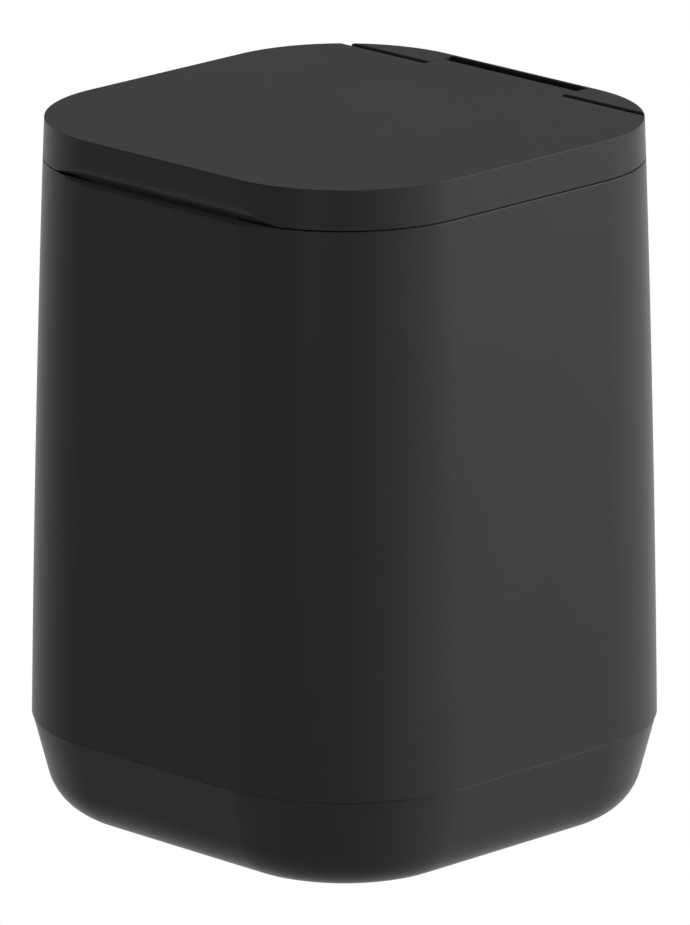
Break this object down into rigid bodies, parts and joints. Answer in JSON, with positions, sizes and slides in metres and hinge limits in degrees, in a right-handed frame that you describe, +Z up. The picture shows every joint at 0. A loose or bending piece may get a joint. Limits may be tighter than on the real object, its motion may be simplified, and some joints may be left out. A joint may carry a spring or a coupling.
{
  "type": "lid bin",
  "caption": "Small black plastic lid bin, rounded square in plan, with a hinged flat lid, corner hinge pads, a finger scoop and a lift-out inner bucket.",
  "frame": {"origin": "on the floor under the centre of the rounded square plan", "axes": "+Z up, +Y towards the hinge at the back, +X to the right seen from the front"},
  "size_m": [0.2, 0.2, 0.267],
  "materials": {
    "black_plastic": "fine matt grain",
    "grey_plastic": "smooth matt",
    "soft_rubber": "soft matt",
    "foot_rubber": "matt",
    "screw_steel": "zinc plated",
    "pin_steel": "ground",
    "bush_plastic": "smooth acetal"
  },
  "bodies": {
    "body": {"outer_sleeve": "black_plastic", "base_cup": "black_plastic", "hinge_frame": "black_plastic", "inner_bucket": "grey_plastic", "foot_front_left": "foot_rubber", "foot_front_right": "foot_rubber", "foot_rear_left": "foot_rubber", "foot_rear_right": "foot_rubber", "frame_screws": "screw_steel", "base_screws": "screw_steel", "hinge_pin_left": "pin_steel", "hinge_pin_right": "pin_steel"},
    "lid": {"lid_cover": "black_plastic", "lid_liner": "grey_plastic", "lid_seal": "soft_rubber", "lid_screws": "screw_steel", "hinge_bush_left": "bush_plastic", "hinge_bush_right": "bush_plastic", "lid_bumper_left": "soft_rubber", "lid_bumper_right": "soft_rubber"}
  },
  "joints": [
    {"name": "lid_hinge", "type": "hinge", "parent": "body", "child": "lid", "pos_m": [0, 0.0828, 0.262], "axis": [-1, 0, 0], "range_deg": [0, 95]}
  ]
}
